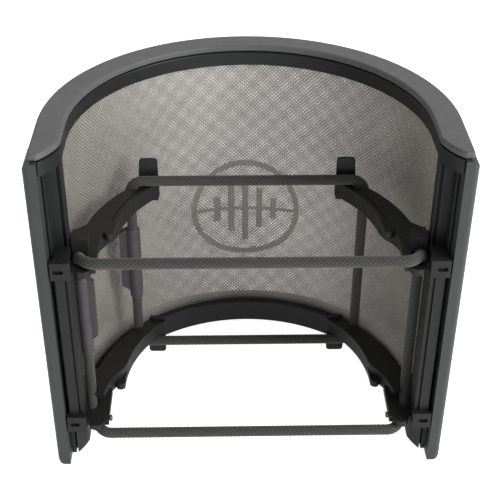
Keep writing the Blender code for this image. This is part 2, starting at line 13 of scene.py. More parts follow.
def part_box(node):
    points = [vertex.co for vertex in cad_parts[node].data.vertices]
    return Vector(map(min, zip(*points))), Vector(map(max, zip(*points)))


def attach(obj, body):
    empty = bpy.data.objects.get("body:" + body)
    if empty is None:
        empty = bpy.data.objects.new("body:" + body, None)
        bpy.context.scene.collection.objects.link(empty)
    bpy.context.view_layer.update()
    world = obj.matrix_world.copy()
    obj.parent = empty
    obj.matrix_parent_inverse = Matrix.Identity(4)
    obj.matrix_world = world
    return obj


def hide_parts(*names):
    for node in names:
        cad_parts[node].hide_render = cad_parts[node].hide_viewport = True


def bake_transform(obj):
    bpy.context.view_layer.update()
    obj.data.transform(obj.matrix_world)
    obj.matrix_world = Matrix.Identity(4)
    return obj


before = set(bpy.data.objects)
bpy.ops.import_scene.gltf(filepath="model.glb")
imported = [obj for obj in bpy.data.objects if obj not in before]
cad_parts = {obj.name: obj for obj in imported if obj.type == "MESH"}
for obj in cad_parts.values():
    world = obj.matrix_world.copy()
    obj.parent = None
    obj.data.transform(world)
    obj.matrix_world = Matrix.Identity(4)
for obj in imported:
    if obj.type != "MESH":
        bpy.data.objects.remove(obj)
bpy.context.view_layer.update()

MM = 0.001
ARC_STEPS = 144  # facets of a half circle
PLAN_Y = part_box("top_cap")[1].y - (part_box("top_cap")[1].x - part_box("top_cap")[0].x) / 2


def limits(node):
    """A CAD node's lowest and highest corners, in plan coordinates."""
    shift = Vector((0, PLAN_Y, 0))
    low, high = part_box(node)
    return (low - shift) / MM, (high - shift) / MM


# Driving sizes, most of them from the frame
CAP_LOW, CAP_HIGH = limits("top_cap")
FRAME_LOW, FRAME_HIGH = limits("top_frame")
BASE_HIGH = limits("bottom_frame")[1]
RING_LOW, RING_HIGH = limits("top_clamp_ring")
RIM_HIGH = limits("bottom_clamp_ring")[1]
TRIM_LOW, TRIM_HIGH = limits("right_trim")
POST_LOW, POST_HIGH = limits("right_post")
SPINE_LOW, SPINE_HIGH = limits("right_spine")
ARM_LOW, ARM_HIGH = limits("right_upper_arm")
CLIP_LOW, CLIP_HIGH = limits("right_upper_clip")
INNER_LOW, INNER_HIGH = limits("inner_mesh")
OUTER_HIGH = limits("outer_mesh")[1]
FRONT_RUN_LOW, FRONT_RUN_HIGH = limits("front_cord_upper_run")
REAR_RUN_LOW, REAR_RUN_HIGH = limits("rear_cord_upper_run")
REAR_SIDE_HIGH = limits("rear_cord_right_side")[1]
GAP = 0.3  # clearance between neighbouring pieces
CAP_RADIUS = CAP_HIGH.x
WALL_RADIUS = CAP_RADIUS - 7.8  # inner face of the rings
OUTER_WALL_RADIUS = OUTER_HIGH.x + 0.4  # inner face of the frames, just outside the cloth
ARM_TOP = ARM_LOW.z + 5.3  # the arm's flat top, below its housing
CORD_RADIUS = (FRONT_RUN_HIGH.z - FRONT_RUN_LOW.z) / 2
LOOP_HIGH = FRONT_RUN_HIGH.z - CORD_RADIUS
LOOP_LOW = limits("front_cord_lower_run")[0].z + CORD_RADIUS
LOOP_MIDDLE = (LOOP_HIGH + LOOP_LOW) / 2
FRONT_LOOP_Y = FRONT_RUN_LOW.y + CORD_RADIUS
REAR_LOOP_Y = REAR_RUN_LOW.y + CORD_RADIUS
# The front edges' curve in plan: a Bezier curve from the outer side to the inner side
FRONT_CURVE = ((57.8, -19.8), (56.2, -19.8), (52.0, -13.2), (52.0, -10.5))

CAMERA_PLACE = (-7.55, -269.9, 250.8)
CAMERA_PITCH, CAMERA_YAW, CAMERA_ROLL = math.radians(34.0), math.radians(1.65), math.radians(0.47)
CAMERA_LENS, CAMERA_SENSOR = 77.08, 36.0


def place(x, y, z):
    """Plan coordinates to the frame's metres."""
    return Vector((x * MM, y * MM + PLAN_Y, z * MM))


# ---------------------------------------------------------------- materials


class Shader:
    """A Principled material with helpers for its nodes."""

    def __init__(self, name, roughness, metallic=0.0, **inputs):
        self.material = bpy.data.materials.new(name)
        self.material.use_nodes = True
        self.nodes = self.material.node_tree.nodes
        self.main = self.nodes["Principled BSDF"]
        self.main.inputs["Roughness"].default_value = roughness
        self.main.inputs["Metallic"].default_value = metallic
        for key, value in inputs.items():
            self.main.inputs[key.replace("_", " ")].default_value = value
        self.where = self.nodes.new("ShaderNodeTexCoord").outputs["Object"]

    def link(self, source, target):
        self.material.node_tree.links.new(source, target)

    def noise(self, size, detail=3.0, roughness=0.5, stretch=(1, 1, 1)):
        """Noise whose features are about size millimetres."""
        scaled = self.nodes.new("ShaderNodeMapping")
        scaled.inputs["Scale"].default_value = [axis / (size * MM) for axis in stretch]
        self.link(self.where, scaled.inputs["Vector"])
        made = self.nodes.new("ShaderNodeTexNoise")
        made.inputs["Scale"].default_value = 1.0
        made.inputs["Detail"].default_value = detail
        made.inputs["Roughness"].default_value = roughness
        self.link(scaled.outputs["Vector"], made.inputs["Vector"])
        return made.outputs["Fac"]

    def ramp(self, value, low, high, start=0.3, end=0.7):
        """Colours from low to high as value goes from start to end."""
        made = self.nodes.new("ShaderNodeValToRGB")
        made.color_ramp.elements[0].position = start
        made.color_ramp.elements[1].position = end
        made.color_ramp.elements[0].color = (*low, 1)
        made.color_ramp.elements[1].color = (*high, 1)
        self.link(value, made.inputs["Fac"])
        return made.outputs["Color"]

    def spread(self, value, low, high, start=0.3, end=0.7):
        made = self.nodes.new("ShaderNodeMapRange")
        for key, number in (("From Min", start), ("From Max", end), ("To Min", low), ("To Max", high)):
            made.inputs[key].default_value = number
        self.link(value, made.inputs["Value"])
        return made.outputs["Result"]

    def bump(self, height, distance, strength=1.0):
        """Relief of distance millimetres, on top of any relief linked before."""
        made = self.nodes.new("ShaderNodeBump")
        made.inputs["Distance"].default_value = distance * MM
        made.inputs["Strength"].default_value = strength
        self.link(height, made.inputs["Height"])
        before = self.main.inputs["Normal"].links
        if before:
            self.link(before[0].from_socket, made.inputs["Normal"])
        self.link(made.outputs["Normal"], self.main.inputs["Normal"])

    def colour(self, socket):
        self.link(socket, self.main.inputs["Base Color"])


def tone(colour, factor):
    return tuple(channel * factor for channel in colour)


def moulded(name, colour, roughness, grain=0.32, depth=0.012, patch=9.0, ior=1.48):
    """Moulded plastic: a fine spark-eroded grain with slow changes of tone and gloss."""
    made = Shader(name, roughness, IOR=ior)
    slow = made.ramp(made.noise(patch, 2.0), tone(colour, 0.9), tone(colour, 1.1))
    fine = made.noise(grain, 2.0, 0.6)
    speck = made.ramp(fine, tone(colour, 0.86), tone(colour, 1.16), 0.25, 0.75)
    mix = made.nodes.new("ShaderNodeMix")
    mix.data_type = "RGBA"
    mix.inputs["Factor"].default_value = 0.5
    made.link(slow, mix.inputs[6])
    made.link(speck, mix.inputs[7])
    made.colour(mix.outputs[2])
    gloss = made.spread(made.noise(2.5, 3.0), roughness - 0.05, roughness + 0.07)
    made.link(gloss, made.main.inputs["Roughness"])
    made.bump(fine, depth)
    return made.material


def wire_material(name, colour):
    made = Shader(name, 0.45, 0.3)
    made.colour(made.ramp(made.noise(14.0, 3.0), tone(colour, 0.88), tone(colour, 1.1)))
    made.link(made.spread(made.noise(0.8, 2.0), 0.36, 0.55), made.main.inputs["Roughness"])
    made.bump(made.noise(0.12, 2.0), 0.006)
    return made.material


def cord_material():
    """Braided elastic: painted shade darkens the grooves between strands and a painted highlight lightens
    their crowns, both from the relief stored on the mesh.
    """
    colour = (0.058, 0.057, 0.055)
    made = Shader("braided elastic", 0.82, Sheen_Weight=0.25, Sheen_Roughness=0.5)
    relief = made.nodes.new("ShaderNodeAttribute")
    relief.attribute_name = "relief"
    # Painted shade and highlight: the relief sets the colour, dark in the grooves between strands and light
    # on their crowns
    made.colour(made.ramp(relief.outputs["Fac"], tone(colour, 0.15), tone(colour, 1.25), 0.1, 0.9))
    made.bump(made.noise(0.11, 2.0, 0.6, (1, 1, 1)), 0.03)
    return made.material


def rubber_material():
    colour = (0.07, 0.066, 0.07)
    made = Shader("moulded rubber", 0.5)
    made.colour(made.ramp(made.noise(3.0), tone(colour, 0.88), tone(colour, 1.1)))
    made.link(made.spread(made.noise(1.0), 0.44, 0.6), made.main.inputs["Roughness"])
    made.bump(made.noise(0.2), 0.008)
    return made.material


def metal_material(name, colour, roughness, metallic):
    made = Shader(name, roughness, metallic)
    made.colour(made.ramp(made.noise(1.2), tone(colour, 0.8), tone(colour, 1.15)))
    made.link(made.spread(made.noise(0.5), roughness - 0.08, roughness + 0.1), made.main.inputs["Roughness"])
    made.bump(made.noise(0.15), 0.006)
    return made.material


LOOKS = {
    # The cap's plastic is made lighter than the others as a painted sheen, standing in for the light on its
    # top face
    "cap": moulded("cap plastic", (0.12, 0.12, 0.12), 0.55, 0.35, 0.02),
    "trim": moulded("trim plastic", (0.052, 0.055, 0.055), 0.42),
    "shell": moulded("shell plastic", (0.016, 0.017, 0.017), 0.45, ior=1.42),
    "cradle": moulded("cradle plastic", (0.018, 0.018, 0.018), 0.45, ior=1.4),
    "wire": wire_material("woven wire", (0.46, 0.438, 0.4)),
    "fine wire": wire_material("fine wire", (0.3, 0.286, 0.262)),
    "badge": metal_material("badge steel", (0.1, 0.1, 0.1), 0.5, 0.5),
    "cord": cord_material(),
    "rubber": rubber_material(),
    "steel": metal_material("black screw steel", (0.16, 0.16, 0.165), 0.35, 0.9),
}

# ---------------------------------------------------------------- mesh tools


def arc(radius, start, end, steps, centre=(0.0, 0.0)):
    """Points of an arc, with both ends, between two angles in degrees."""
    points = []
    for i in range(steps + 1):
        turn = math.radians(start + (end - start) * i / steps)
        points.append((centre[0] + radius * math.cos(turn), centre[1] + radius * math.sin(turn)))
    return points


def circle(radius, centre=(0.0, 0.0), sides=48):
    return arc(radius, 0, 360 - 360 / sides, sides - 1, centre)


def rectangle(x_low, x_high, y_low, y_high):
    return [(x_low, y_low), (x_high, y_low), (x_high, y_high), (x_low, y_high)]


def mirrored(outline, side):
    return [(side * x, y) for x, y in outline]


def rounded(outline, radius, steps=5):
    """The outline with each corner replaced by an arc-like curve that starts radius before it."""
    points = []
    for i, corner in enumerate(outline):
        corner = Vector(corner)
        before, after = Vector(outline[i - 1]), Vector(outline[(i + 1) % len(outline)])
        reach = min(radius, (before - corner).length * 0.45, (after - corner).length * 0.45)
        start = corner + (before - corner).normalized() * reach
        end = corner + (after - corner).normalized() * reach
        for k in range(steps + 1):
            t = k / steps
            points.append(tuple((1 - t) ** 2 * start + 2 * t * (1 - t) * corner + t * t * end))
    return points


def extrude(outline, rise):
    """A closed prism: a flat 3D outline in plan coordinates and its copy moved by rise."""
    solid = bmesh.new()
    near = [solid.verts.new(place(*point)) for point in outline]
    far = [solid.verts.new(place(*(Vector(point) + Vector(rise)))) for point in outline]
    solid.faces.new(near)
    solid.faces.new(far)
    for i in range(len(near)):
        j = (i + 1) % len(near)
        solid.faces.new((near[i], near[j], far[j], far[i]))
    bmesh.ops.recalc_face_normals(solid, faces=solid.faces)
    return solid


def prism(outline, low, high):
    return extrude([(x, y, low) for x, y in outline], (0, 0, high - low))


def slab(outline, front, back):
    """A prism along Y from an outline in X and Z."""
    return extrude([(x, front, z) for x, z in outline], (0, back - front, 0))


def raw_object(name, solid):
    mesh = bpy.data.meshes.new(name)
    solid.to_mesh(mesh)
    solid.free()
    made = bpy.data.objects.new(name, mesh)
    bpy.context.scene.collection.objects.link(made)
    return made


def bake(piece):
    """Replaces the piece's mesh by what its modifiers make of it."""
    bpy.context.view_layer.update()
    evaluated = piece.evaluated_get(bpy.context.evaluated_depsgraph_get())
    mesh = bpy.data.meshes.new_from_object(evaluated)
    piece.modifiers.clear()
    piece.data = mesh


def combine(piece, solid, operation="UNION"):
    """Joins a solid to the piece, or cuts it away."""
    tool = raw_object("tool", solid)
    modifier = piece.modifiers.new("combine", "BOOLEAN")
    modifier.operation = operation
    modifier.solver = "EXACT"
    modifier.object = tool
    bake(piece)
    bpy.data.objects.remove(tool)


def cut(piece, solid):
    combine(piece, solid, "DIFFERENCE")


def soften(piece, width, segments=3, angle=32):
    """Rounds the edges sharper than angle by width millimetres."""
    modifier = piece.modifiers.new("soften", "BEVEL")
    modifier.width = width * MM
    modifier.segments = segments
    modifier.limit_method = "ANGLE"
    modifier.angle_limit = math.radians(angle)
    modifier.miter_outer = "MITER_ARC"
    modifier.use_clamp_overlap = True
    bake(piece)


def smooth(piece):
    """Smooth shading that keeps flat faces flat and sharp edges sharp."""
    piece.data.shade_smooth()
    piece.data.set_sharp_from_angle(angle=math.radians(40))
    modifier = piece.modifiers.new("normals", "WEIGHTED_NORMAL")
    modifier.keep_sharp = True
    bake(piece)


def finish_piece(piece, body, look, *nodes):
    """Material, body and the CAD nodes that the piece stands for."""
    piece.data.materials.clear()
    piece.data.materials.append(LOOKS[look])
    if body:
        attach(piece, body)
    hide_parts(*nodes)
    return piece


def bezier(t, points):
    """A point of a cubic Bezier curve."""
    weights = ((1 - t) ** 3, 3 * t * (1 - t) ** 2, 3 * t * t * (1 - t), t**3)
    return tuple(sum(w * point[axis] for w, point in zip(weights, points)) for axis in range(len(points[0])))


def front_edge_y(x):
    """The front curve's Y at a distance x from the middle."""
    low, high = 0.0, 1.0
    for _ in range(40):
        t = (low + high) / 2
        if bezier(t, FRONT_CURVE)[0] > x:
            low = t
        else:
            high = t
    return bezier(low, FRONT_CURVE)[1]


def front_curve(outer, inner, steps=24):
    """The front curve from an outer to an inner distance."""
    xs = [outer + (inner - outer) * i / steps for i in range(steps + 1)]
    return [(x, front_edge_y(x)) for x in xs]


def u_outline(inner, outer, end):
    """A U in plan. end is its right-hand front end, from the outer side to the inner side."""
    left_end = [(-x, y) for x, y in end]
    return arc(outer, 0, 180, ARC_STEPS) + left_end + arc(inner, 180, 0, ARC_STEPS) + end[::-1]


# ---------------------------------------------------------------- shell

WEB_LOW, WEB_HIGH = 2.0, 4.0  # the bottom frame's inner web
RIM_FOOT = 1.6  # the bottom ring's lower edge
TRIM_CORNER, TRIM_BOW = 1.8, 2.4  # the trim's corner radius in plan and at its top and bottom
CHANNEL_BACK_Y = -12.3  # the back of the post's channel, which the spine slides in


def make_cap():
    end = [(CAP_RADIUS, FRONT_CURVE[0][1])] + front_curve(FRONT_CURVE[0][0], WALL_RADIUS - 0.19)
    outline = u_outline(WALL_RADIUS - 0.2, CAP_RADIUS, end)
    cap = raw_object("top_cap_moulding", prism(outline, CAP_LOW.z, CAP_HIGH.z))
    soften(cap, 0.7, 4)
    smooth(cap)
    finish_piece(cap, "shell", "cap", "top_cap")


def block_end(outer):
    """A frame's front end: a step back for the trim, then the block that the post stands on."""
    step = [(FRAME_HIGH.x, TRIM_HIGH.y + GAP), (outer, TRIM_HIGH.y + GAP)]
    wall, chamfer = OUTER_WALL_RADIUS, 1.0
    back = [(WALL_RADIUS, POST_HIGH.y), (wall - chamfer, POST_HIGH.y), (wall, POST_HIGH.y + chamfer)]
    return step + front_curve(outer, WALL_RADIUS) + back


def make_top_frame():
    outline = u_outline(OUTER_WALL_RADIUS, FRAME_HIGH.x, block_end(POST_HIGH.x))
    top = raw_object("top_frame_moulding", prism(outline, FRAME_LOW.z, FRAME_HIGH.z))
    soften(top, 0.1, 2)
    smooth(top)
    finish_piece(top, "shell", "shell", "top_frame")


def make_bottom_frame():
    outer = POST_HIGH.x
    wall_end = [(BASE_HIGH.x, TRIM_HIGH.y + GAP), (outer - 0.3, TRIM_HIGH.y + GAP)]
    wall = u_outline(OUTER_WALL_RADIUS, BASE_HIGH.x, wall_end)
    base = raw_object("bottom_frame_moulding", prism(wall, 0, RIM_HIGH.z))
    inner = WALL_RADIUS + 0.5
    ahead, above = -22, 16  # the cuts run out past the block's front and top
    web = u_outline(inner, outer, [(outer, POST_HIGH.y - 1), (inner, POST_HIGH.y - 1)])
    combine(base, prism(web, WEB_LOW, WEB_HIGH))
    for side in (-1, 1):
        block = front_curve(outer, WALL_RADIUS) + [(WALL_RADIUS, POST_HIGH.y), (outer, POST_HIGH.y)]
        combine(base, prism(mirrored(block, side), WEB_LOW, BASE_HIGH.z))
        # The trim's seat: a narrow slot and a recess in the block's front, and a lower ledge under the ear
        slot, recess = rectangle(55.3, 55.9, ahead, -15.5), rectangle(55.2, 58, ahead, -17.6)
        ledge = rectangle(54.2, 58, ahead, -14.0)
        for seat, low in ((slot, 1), (recess, 1), (ledge, BASE_HIGH.z - 0.8)):
            cut(base, prism(mirrored(seat, side), low, above))
    soften(base, 0.35, 2)
    smooth(base)
    finish_piece(base, "shell", "shell", "bottom_frame")


def make_rings():
    stop = POST_HIGH.y + GAP
    rings = (("top_clamp_ring", RING_LOW.z, RING_HIGH), ("bottom_clamp_ring", RIM_FOOT, RIM_HIGH))
    for name, low, high in rings:
        outline = u_outline(WALL_RADIUS, high.x, [(high.x, stop), (WALL_RADIUS, stop)])
        ring = raw_object(f"{name}_moulding", prism(outline, low, high.z))
        soften(ring, 0.45, 3)
        smooth(ring)
        finish_piece(ring, "shell", "shell", name)


def make_trims():
    for side, hand in ((-1, "left"), (1, "right")):
        front, back, inner, outer = TRIM_LOW.y, TRIM_HIGH.y, TRIM_LOW.x, TRIM_HIGH.x
        corner_x = outer - TRIM_CORNER
        outline = [(inner, front)] + arc(TRIM_CORNER, -90, 0, 10, (corner_x, front + TRIM_CORNER))
        outline += arc(TRIM_CORNER, 0, 90, 10, (corner_x, back - TRIM_CORNER)) + [(inner, back)]
        trim = raw_object(f"{hand}_trim_moulding", prism(mirrored(outline, side), 0, TRIM_HIGH.z))
        for end, lean in ((0.0, 1), (TRIM_HIGH.z, -1)):
            bow = arc(TRIM_BOW, 0, 90, 10)
            corner = [(outer - TRIM_BOW + x, end + lean * (TRIM_BOW - z)) for x, z in bow]
            corner += [(outer - TRIM_BOW, end - lean * 2), (outer + 2, end - lean * 2)]
            corner += [(outer + 2, end + lean * TRIM_BOW)]
            cut(trim, slab(mirrored(corner, side), front - 2, back + 2))
        soften(trim, 0.4, 3)
        smooth(trim)
        finish_piece(trim, "shell", "trim", f"{hand}_trim")


def make_posts():
    for side, hand in ((-1, "left"), (1, "right")):
        back, channel, lip = POST_HIGH.y, CHANNEL_BACK_Y, 0.8
        inner, outer = POST_LOW.x, POST_HIGH.x
        outline = [(inner, back), (outer, back), (outer, POST_LOW.y), (outer - lip, POST_LOW.y)]
        outline += [(outer - lip, channel), (53.7, channel), (54.1, -10.8), (52.9, -10.8), (52.9, channel)]
        outline += [(inner, channel)]
        post = raw_object(f"{hand}_post_moulding", prism(mirrored(outline, side), POST_LOW.z, POST_HIGH.z))
        soften(post, 0.15, 2)
        smooth(post)
        finish_piece(post, "shell", "shell", f"{hand}_post")


# ---------------------------------------------------------------- cradle

ARM_SCREW_Y, ARM_SCREW_Z, ARM_SCREW_BORE = -16.2, 74.2, 0.7
FRONT_RUN_X, FRONT_TURN_X, FRONT_TURN_REACH = FRONT_RUN_HIGH.x, 43.8, 6.5
UPRIGHT_X, UPRIGHT_Y = 51.0, -5.8
UPRIGHT_LOW, UPRIGHT_REACH = 11.5, 9.0
REAR_RUN_X, REAR_LOOP_X = REAR_RUN_HIGH.x, REAR_SIDE_HIGH.x - CORD_RADIUS
LOOP_CORNER = 4.2
BACK_WALL = -12.6  # the spine's back, in front of the post's channel
ARM_STEPS = 36  # facets of an arm's long curves
ARM_ROOT_DEG, ARM_TIP_DEG = 5.0, 32.0  # where the arm's outer curve starts and ends
ARM_ROOT_RADIUS, ARM_TIP_RADIUS, ARM_INNER_RADIUS = 49.4, 46.0, 40.6
BLOCK_INNER_X, BLOCK_FRONT_Y, BLOCK_LOW = 44.6, -18.2, 73.1  # the arm's block, beside the spine
HOUSING = (46.9, 51.5, -12.4, -6.6)  # the part of the arm that rises round the cord
BOSS_PLACE, BOSS_RADIUS = (48.2, -18.4), 2.4
NUB_PLACE, NUB_RADIUS, RIB_RADIUS = (42.1, 0.1), 1.5, 43.0
GROOVE_INNER, GROOVE_OUTER = 42.0, 42.35  # the fine line on the arm's flat top
BAR_INNER_X, BAR_OUTER_X = 51.9, 56.2  # the spine's sides
BAR_STEP_X = 53.4  # the outer side of the spine's front groove, and of the neck of its key
EAR_INNER_X, EAR_OUTER_X, EAR_HEIGHT = 51.2, 57.2, 5.9
CLIP_FOOT = 68.8  # the clip's lower edge
CLIP_CORNER, CLIP_RISE = 1.1, 6.7  # its head's corner radius, and how far it rises above the cord's middle
POST_SCREW_PLACE, POST_SCREW_SHANK, ARM_SCREW_SHANK = (55.7, -10.2), 0.9, 0.55
SLEEVE_WIDE, SLEEVE_NARROW, SLEEVE_LOBE = 2.3, 2.1, 1.2  # radii, and half the lobe's thickness


def level(z, upper):
    """A height on the upper arm, or its mirror image on the lower arm."""
    return z if upper else 2 * LOOP_MIDDLE - z


def between(a, b, upper):
    return sorted((level(a, upper), level(b, upper)))


def rear_side(side):
    x = REAR_LOOP_X - LOOP_CORNER
    high = arc(LOOP_CORNER, 90, 0, 24, (x, LOOP_HIGH - LOOP_CORNER))
    low = arc(LOOP_CORNER, 0, -90, 24, (x, LOOP_LOW + LOOP_CORNER))
    flat = [(REAR_RUN_X, LOOP_HIGH), *high, *low, (REAR_RUN_X, LOOP_LOW)]
    return [(side * px, REAR_LOOP_Y, pz) for px, pz in flat]


def front_side(side):
    """One side of the front loop: back and down through the arm, down behind the post and forward again."""
    start, end = (FRONT_TURN_X, FRONT_LOOP_Y, LOOP_HIGH), (UPRIGHT_X, UPRIGHT_Y, LOOP_HIGH - UPRIGHT_LOW)
    leave, arrive = (start[0] + FRONT_TURN_REACH, *start[1:]), (*end[:2], end[2] + UPRIGHT_REACH)
    half = [(FRONT_RUN_X, FRONT_LOOP_Y, LOOP_HIGH)]
    half += [bezier(i / 60, (start, leave, arrive, end)) for i in range(61)]
    other = [(x, y, 2 * LOOP_MIDDLE - z) for x, y, z in reversed(half)]
    return [(side * x, y, z) for x, y, z in half + other]


def tube(points, radius, sides=20):
    """A closed round tube along points in plan coordinates."""
    solid = bmesh.new()
    rings = []
    across = Vector((0, 1, 0.001))
    for i, point in enumerate(points):
        before, after = points[max(i - 1, 0)], points[min(i + 1, len(points) - 1)]
        along = (Vector(after) - Vector(before)).normalized()
        normal = along.cross(across).normalized()
        across = normal.cross(along)
        ring = []
        for k in range(sides):
            turn = 2 * math.pi * k / sides
            offset = math.cos(turn) * normal + math.sin(turn) * across
            ring.append(solid.verts.new(place(*(Vector(point) + radius * offset))))
        rings.append(ring)
    solid.faces.new(rings[0])
    solid.faces.new(rings[-1])
    for a, b in zip(rings, rings[1:]):
        for k in range(sides):
            m = (k + 1) % sides
            solid.faces.new((a[k], a[m], b[m], b[k]))
    bmesh.ops.recalc_face_normals(solid, faces=solid.faces)
    return solid


def arm_outline():
    """The right-hand arm in plan: its root behind the post, then a crescent that narrows to the rear."""
    behind = POST_HIGH.y + GAP
    root = [(46.8, -9.0), (52.0, -9.0), (52.0, behind), (54.3, behind), (54.3, -1.2), (52.6, 1.4)]
    outer = []
    for i in range(ARM_STEPS + 1):
        turn = math.radians(ARM_ROOT_DEG + (ARM_TIP_DEG - ARM_ROOT_DEG) * i / ARM_STEPS)
        radius = ARM_ROOT_RADIUS + (ARM_TIP_RADIUS - ARM_ROOT_RADIUS) * i / ARM_STEPS
        outer.append((radius * math.cos(turn), radius * math.sin(turn)))
    end = [(34.3, 28.4), (34.3, 30.4), (33.5, 31.2), (29.3, 31.2), (28.5, 30.4)]
    inner = arc(ARM_INNER_RADIUS, 45.4, 9.0, ARM_STEPS)
    nose = [(41.2, 3.2), (42.9, 1.2), (44.6, -1.6), (45.7, -4.6)]
    return root + outer + end + inner + nose


def make_arm(side, hand, upper):
    """An arm with a block beside the spine, a housing round the cord and a raised rib on its inner side."""
    where = "upper" if upper else "lower"

    def solid(outline, low, high):
        return prism(mirrored(outline, side), *between(low, high, upper))

    arm = raw_object(f"{hand}_{where}_arm_moulding", solid(arm_outline(), ARM_LOW.z, ARM_TOP))
    block = rectangle(BLOCK_INNER_X, BAR_INNER_X - GAP, BLOCK_FRONT_Y, -3.2)
    combine(arm, solid(block, BLOCK_LOW, ARM_TOP - 0.2))
    combine(arm, solid(rectangle(*HOUSING), ARM_TOP - 0.8, ARM_HIGH.z))
    combine(arm, solid(circle(NUB_RADIUS, NUB_PLACE, 32), ARM_TOP - 2.4, ARM_TOP - 0.1))
    rib = arc(ARM_INNER_RADIUS, 12, 1, 10) + arc(RIB_RADIUS, 1, 12, 10)
    combine(arm, solid(rib, ARM_TOP - 2.3, ARM_TOP - 0.15))
    soften(arm, 0.3, 3)
    combine(arm, solid(circle(BOSS_RADIUS, BOSS_PLACE, 64), BLOCK_LOW + 0.1, ARM_TOP - 0.3))
    groove = arc(GROOVE_INNER, 42, 8, 30) + arc(GROOVE_OUTER, 8, 42, 30)
    cut(arm, solid(groove, ARM_TOP - 0.35, ARM_TOP + 1))
    for route in (rear_side(side), front_side(side)):
        cut(arm, tube(route, CORD_RADIUS + 0.4))
    cut(arm, solid(rectangle(29.5, 33.3, 28.7, 30.4), ARM_LOW.z - 1, ARM_TOP + 1))
    bore = circle(ARM_SCREW_BORE, sides=24)
    hole = [(side * 43, ARM_SCREW_Y + dy, level(ARM_SCREW_Z, upper) + dz) for dy, dz in bore]
    cut(arm, extrude(hole, (side * 12, 0, 0)))
    smooth(arm)
    finish_piece(arm, "cradle", "cradle", f"{hand}_{where}_arm")


def make_spine(side, hand):
    """The bar in the post's channel, grooved in front, with two slotted ears and a key in the keyway."""
    outline = [(BAR_INNER_X, -19.2), (52.9, -19.2), (52.9, -18.5), (BAR_STEP_X, -18.5), (BAR_STEP_X, -19.6)]
    outline += [(BAR_OUTER_X, -19.6), (BAR_OUTER_X, BACK_WALL), (BAR_STEP_X, BACK_WALL)]
    outline += [(53.7, -11.1), (53.2, -11.1), (53.2, BACK_WALL), (BAR_INNER_X, BACK_WALL)]
    spine = raw_object(f"{hand}_spine_moulding", prism(mirrored(outline, side), SPINE_LOW.z, SPINE_HIGH.z))
    ear = mirrored(rounded(rectangle(EAR_INNER_X, EAR_OUTER_X, SPINE_LOW.y, -19.0), 0.6), side)
    for low in (SPINE_LOW.z, SPINE_HIGH.z - EAR_HEIGHT):
        combine(spine, prism(ear, low, low + EAR_HEIGHT))
    soften(spine, 0.18, 2)
    for low in (SPINE_LOW.z, SPINE_HIGH.z - EAR_HEIGHT):
        middle = low + EAR_HEIGHT / 2
        slot = arc(0.75, 90, 270, 16, (54.0, middle)) + arc(0.75, -90, 90, 16, (55.6, middle))
        cut(spine, slab([(side * x, z) for x, z in slot], SPINE_LOW.y - 1, SPINE_LOW.y + 0.9))
    for upper in (True, False):
        z = level(ARM_SCREW_Z, upper)
        hole = [(side * 50, ARM_SCREW_Y + dy, z + dz) for dy, dz in circle(ARM_SCREW_BORE, sides=24)]
        cut(spine, extrude(hole, (side * 5.4, 0, 0)))
    smooth(spine)
    finish_piece(spine, "cradle", "cradle", f"{hand}_spine")


def make_clip(side, hand, upper):
    """A rear clip: a foot under the arm, a stem through it and a head behind the cord."""
    where = "upper" if upper else "lower"
    below, above, centre = ARM_LOW.z - GAP, ARM_TOP + GAP, LOOP_HIGH + CLIP_RISE - CLIP_CORNER
    outline = [(28.9, CLIP_FOOT), (33.9, CLIP_FOOT), (33.9, below), (33.0, below)]
    outline += [(33.0, above), (35.0, above)]
    outline += arc(CLIP_CORNER, 0, 90, 8, (33.5, centre)) + arc(CLIP_CORNER, 90, 180, 8, (29.8, centre))
    outline += [(28.6, above), (29.8, above), (29.8, below), (28.9, below)]
    outline = [(side * x, level(z, upper)) for x, z in outline]
    clip = raw_object(f"{hand}_{where}_clip_moulding", slab(outline, CLIP_LOW.y, CLIP_HIGH.y))
    soften(clip, 0.2, 3)
    smooth(clip)
    finish_piece(clip, "cradle", "cradle", f"{hand}_{where}_clip")


def lathe(rows, sides=40):
    """A closed solid of revolution about Z from (radius, z) rows, in plan coordinates."""
    solid = bmesh.new()
    rings = [[solid.verts.new((x, y, z)) for x, y in circle(radius, sides=sides)] for radius, z in rows]
    solid.faces.new(rings[0])
    solid.faces.new(rings[-1])
    for a, b in zip(rings, rings[1:]):
        for i in range(sides):
            j = (i + 1) % sides
            solid.faces.new((a[i], a[j], b[j], b[i]))
    return solid


def make_screw(name, body, head, tip, shank, length):
    """A pan-head screw with a cross recess, from the head's outer face to its tip."""
    direction = (Vector(tip) - Vector(head)).normalized()
    turn = direction.to_track_quat("Z", "Y").to_matrix().to_4x4()
    wide, thick = 1.8 * shank, 1.4 * shank
    rows = [(0.62 * wide, 0.0), (0.85 * wide, 0.1 * thick), (0.97 * wide, 0.3 * thick), (wide, 0.6 * thick)]
    rows += [(wide, thick), (shank, thick)]
    thread = 0.5
    for i in range(int((length - 2.0) / thread)):
        rows += [(shank, thick + 0.3 + thread * i), (0.8 * shank, thick + 0.55 + thread * i)]
    rows += [(shank, length), (0.2, length + 0.8)]
    solid = lathe(rows, 24)
    solid.transform(Matrix.Translation(place(*head)) @ turn @ Matrix.Scale(MM, 4))
    bmesh.ops.recalc_face_normals(solid, faces=solid.faces)
    screw = raw_object(f"{name}_fastener", solid)
    for angle in (0, 90):
        recess = bmesh.new()
        bmesh.ops.create_cube(recess, size=1.0)
        spin = Matrix.Rotation(math.radians(angle + 45), 4, "Z")
        spin @= Matrix.Diagonal((2.1 * shank, 0.5 * shank, 1.5 * shank, 1))
        recess.transform(Matrix.Translation(place(*head)) @ turn @ Matrix.Scale(MM, 4) @ spin)
        bmesh.ops.recalc_face_normals(recess, faces=recess.faces)
        cut(screw, recess)
    smooth(screw)
    finish_piece(screw, body, "steel", name)


